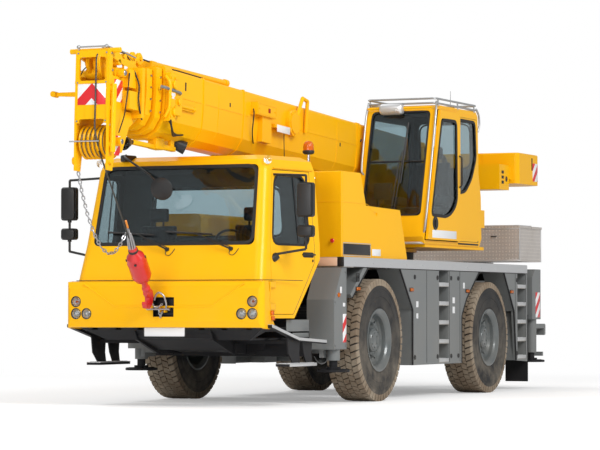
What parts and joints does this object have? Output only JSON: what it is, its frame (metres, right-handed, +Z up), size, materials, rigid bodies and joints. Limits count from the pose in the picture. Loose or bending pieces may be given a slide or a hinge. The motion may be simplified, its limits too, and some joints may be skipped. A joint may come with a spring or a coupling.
{
  "type": "mobile crane",
  "caption": "Two-axle all-terrain mobile crane with driver's cab, slewing upper works, operator's cab, telescopic boom, hook block and sliding outriggers.",
  "frame": {"origin": "middle of the bounding box in plan, on the ground under the wheels", "axes": "+X forward along the boom, +Y to the left, +Z up"},
  "size_m": [10.5519, 2.98, 3.6239],
  "materials": {
    "yellow_paint": "warm yellow gloss paint",
    "grey_paint": "mid grey paint",
    "black_paint": "black chassis paint",
    "red_paint": "red paint",
    "aluminium": "brushed sheet",
    "tread_plate": "raised tread plate",
    "cast_iron": "cast",
    "steel": "ground steel",
    "chrome": "hard chrome",
    "steel_rope": "greased wire",
    "tyre_rubber": "worn rubber",
    "black_plastic": "grained",
    "seat_fabric": "woven",
    "glass": "tinted"
  },
  "bodies": {
    "carrier": {"chassis_frame": "black_paint", "deck": "aluminium", "side_panels": "grey_paint", "outrigger_boxes": "black_paint", "axles": "black_paint", "cab_shell": "yellow_paint", "cab_glass": "glass", "cab_interior": "seat_fabric", "front_bumper": "yellow_paint", "front_lamps": "glass", "engine_hood": "yellow_paint", "engine_block": "cast_iron", "hydraulic_tank": "yellow_paint", "toolbox": "tread_plate", "rear_frame": "grey_paint", "slewing_ring": "black_paint"},
    "knuckle_front_left": {"knuckle_front_left": "black_paint"},
    "wheel_front_left": {"rim_front_left": "grey_paint", "tyre_front_left": "tyre_rubber"},
    "knuckle_front_right": {"knuckle_front_right": "black_paint"},
    "wheel_front_right": {"rim_front_right": "grey_paint", "tyre_front_right": "tyre_rubber"},
    "knuckle_rear_left": {"knuckle_rear_left": "black_paint"},
    "wheel_rear_left": {"rim_rear_left": "grey_paint", "tyre_rear_left": "tyre_rubber"},
    "knuckle_rear_right": {"knuckle_rear_right": "black_paint"},
    "wheel_rear_right": {"rim_rear_right": "grey_paint", "tyre_rear_right": "tyre_rubber"},
    "door_left": {"door_left": "yellow_paint", "door_glass_left": "glass", "mirror_left": "black_plastic"},
    "door_right": {"door_right": "yellow_paint", "door_glass_right": "glass", "mirror_right": "black_plastic"},
    "beam_front_left": {"beam_front_left": "grey_paint"},
    "jack_front_left": {"jack_front_left": "steel"},
    "beam_front_right": {"beam_front_right": "grey_paint"},
    "jack_front_right": {"jack_front_right": "steel"},
    "beam_rear_left": {"beam_rear_left": "grey_paint"},
    "jack_rear_left": {"jack_rear_left": "steel"},
    "beam_rear_right": {"beam_rear_right": "grey_paint"},
    "jack_rear_right": {"jack_rear_right": "steel"},
    "toolbox_lid": {"toolbox_lid": "tread_plate"},
    "superstructure": {"turntable": "yellow_paint", "counterweight": "yellow_paint", "winch": "black_paint", "crane_cab_shell": "yellow_paint", "crane_cab_glass": "glass", "crane_cab_interior": "seat_fabric"},
    "crane_door": {"crane_door": "yellow_paint", "crane_door_glass": "glass"},
    "boom": {"boom_base": "yellow_paint"},
    "tele_1": {"boom_section_1": "yellow_paint"},
    "tele_2": {"boom_section_2": "yellow_paint"},
    "tele_3": {"boom_section_3": "yellow_paint", "head_sheaves": "yellow_paint"},
    "hook": {"hoist_rope": "steel_rope", "hook_block": "red_paint"},
    "lift_barrel": {"lift_barrel": "yellow_paint"},
    "lift_rod": {"lift_rod": "chrome"}
  },
  "joints": [
    {"name": "steer_front_left", "type": "hinge", "parent": "carrier", "child": "knuckle_front_left", "pos_m": [0.925, 0.95, 0.682], "axis": [0, 0, 1], "range_deg": [-25, 25]},
    {"name": "roll_front_left", "type": "hinge", "parent": "knuckle_front_left", "child": "wheel_front_left", "pos_m": [0.925, 1.127, 0.682], "axis": [0, 1, 0], "continuous": true},
    {"name": "steer_front_right", "type": "hinge", "parent": "carrier", "child": "knuckle_front_right", "pos_m": [0.925, -0.95, 0.682], "axis": [0, 0, 1], "range_deg": [-25, 25]},
    {"name": "roll_front_right", "type": "hinge", "parent": "knuckle_front_right", "child": "wheel_front_right", "pos_m": [0.925, -1.127, 0.682], "axis": [0, 1, 0], "continuous": true},
    {"name": "steer_rear_left", "type": "hinge", "parent": "carrier", "child": "knuckle_rear_left", "pos_m": [-2.635, 0.95, 0.682], "axis": [0, 0, 1], "range_deg": [-25, 25]},
    {"name": "roll_rear_left", "type": "hinge", "parent": "knuckle_rear_left", "child": "wheel_rear_left", "pos_m": [-2.635, 1.127, 0.682], "axis": [0, 1, 0], "continuous": true},
    {"name": "steer_rear_right", "type": "hinge", "parent": "carrier", "child": "knuckle_rear_right", "pos_m": [-2.635, -0.95, 0.682], "axis": [0, 0, 1], "range_deg": [-25, 25]},
    {"name": "roll_rear_right", "type": "hinge", "parent": "knuckle_rear_right", "child": "wheel_rear_right", "pos_m": [-2.635, -1.127, 0.682], "axis": [0, 1, 0], "continuous": true},
    {"name": "door_left_hinge", "type": "hinge", "parent": "carrier", "child": "door_left", "pos_m": [3.46, 1.125, 1.05], "axis": [0, 0, -1], "range_deg": [0, 65]},
    {"name": "door_right_hinge", "type": "hinge", "parent": "carrier", "child": "door_right", "pos_m": [3.46, -1.125, 1.05], "axis": [0, 0, 1], "range_deg": [0, 65]},
    {"name": "beam_front_left_slide", "type": "slide", "parent": "carrier", "child": "beam_front_left", "axis": [0, 1, 0], "range_m": [0, 1.45]},
    {"name": "jack_front_left_slide", "type": "slide", "parent": "beam_front_left", "child": "jack_front_left", "axis": [0, 0, -1], "range_m": [0, 0.48]},
    {"name": "beam_front_right_slide", "type": "slide", "parent": "carrier", "child": "beam_front_right", "axis": [0, -1, 0], "range_m": [0, 1.45]},
    {"name": "jack_front_right_slide", "type": "slide", "parent": "beam_front_right", "child": "jack_front_right", "axis": [0, 0, -1], "range_m": [0, 0.48]},
    {"name": "beam_rear_left_slide", "type": "slide", "parent": "carrier", "child": "beam_rear_left", "axis": [0, 1, 0], "range_m": [0, 1.45]},
    {"name": "jack_rear_left_slide", "type": "slide", "parent": "beam_rear_left", "child": "jack_rear_left", "axis": [0, 0, -1], "range_m": [0, 0.48]},
    {"name": "beam_rear_right_slide", "type": "slide", "parent": "carrier", "child": "beam_rear_right", "axis": [0, -1, 0], "range_m": [0, 1.45]},
    {"name": "jack_rear_right_slide", "type": "slide", "parent": "beam_rear_right", "child": "jack_rear_right", "axis": [0, 0, -1], "range_m": [0, 0.48]},
    {"name": "toolbox_lid_hinge", "type": "hinge", "parent": "carrier", "child": "toolbox_lid", "pos_m": [-4.655, 0, 2.11], "axis": [0, -1, 0], "range_deg": [0, 80]},
    {"name": "slew", "type": "hinge", "parent": "carrier", "child": "superstructure", "pos_m": [-1.675, 0, 1.72], "axis": [0, 0, 1], "continuous": true},
    {"name": "crane_door_slide", "type": "slide", "parent": "superstructure", "child": "crane_door", "axis": [-1, 0, 0], "range_m": [0, 0.65]},
    {"name": "luff", "type": "hinge", "parent": "superstructure", "child": "boom", "pos_m": [-3.375, 0, 2.95], "axis": [0, -1, 0], "range_deg": [0, 79]},
    {"name": "tele_1_slide", "type": "slide", "parent": "boom", "child": "tele_1", "axis": [0.9988, 0, 0.0489], "range_m": [0, 6.4]},
    {"name": "tele_2_slide", "type": "slide", "parent": "tele_1", "child": "tele_2", "axis": [0.9988, 0, 0.0489], "range_m": [0, 6.4]},
    {"name": "tele_3_slide", "type": "slide", "parent": "tele_2", "child": "tele_3", "axis": [0.9988, 0, 0.0489], "range_m": [0, 6.4]},
    {"name": "hook_swing", "type": "hinge", "parent": "tele_3", "child": "hook", "pos_m": [5.0946, 0, 2.6903], "axis": [0, -1, 0], "range_deg": [-36, 0]},
    {"name": "lift_barrel_hinge", "type": "hinge", "parent": "superstructure", "child": "lift_barrel", "pos_m": [-1.975, 0, 1.95], "axis": [0, -1, 0], "range_deg": [0, 80.28]},
    {"name": "lift_rod_slide", "type": "slide", "parent": "lift_barrel", "child": "lift_rod", "axis": [0.9782, 0, 0.2079], "range_m": [0, 2.187]}
  ],
  "couplings": [
    {"joint": "tele_2_slide", "follows": "tele_1_slide", "ratio": 1},
    {"joint": "tele_3_slide", "follows": "tele_1_slide", "ratio": 1},
    {"joint": "hook_swing", "follows": "luff", "ratio": -0.448},
    {"joint": "lift_barrel_hinge", "follows": "luff", "ratio": 1.0163},
    {"joint": "lift_rod_slide", "follows": "luff", "m_per_rad": 1.5862}
  ]
}
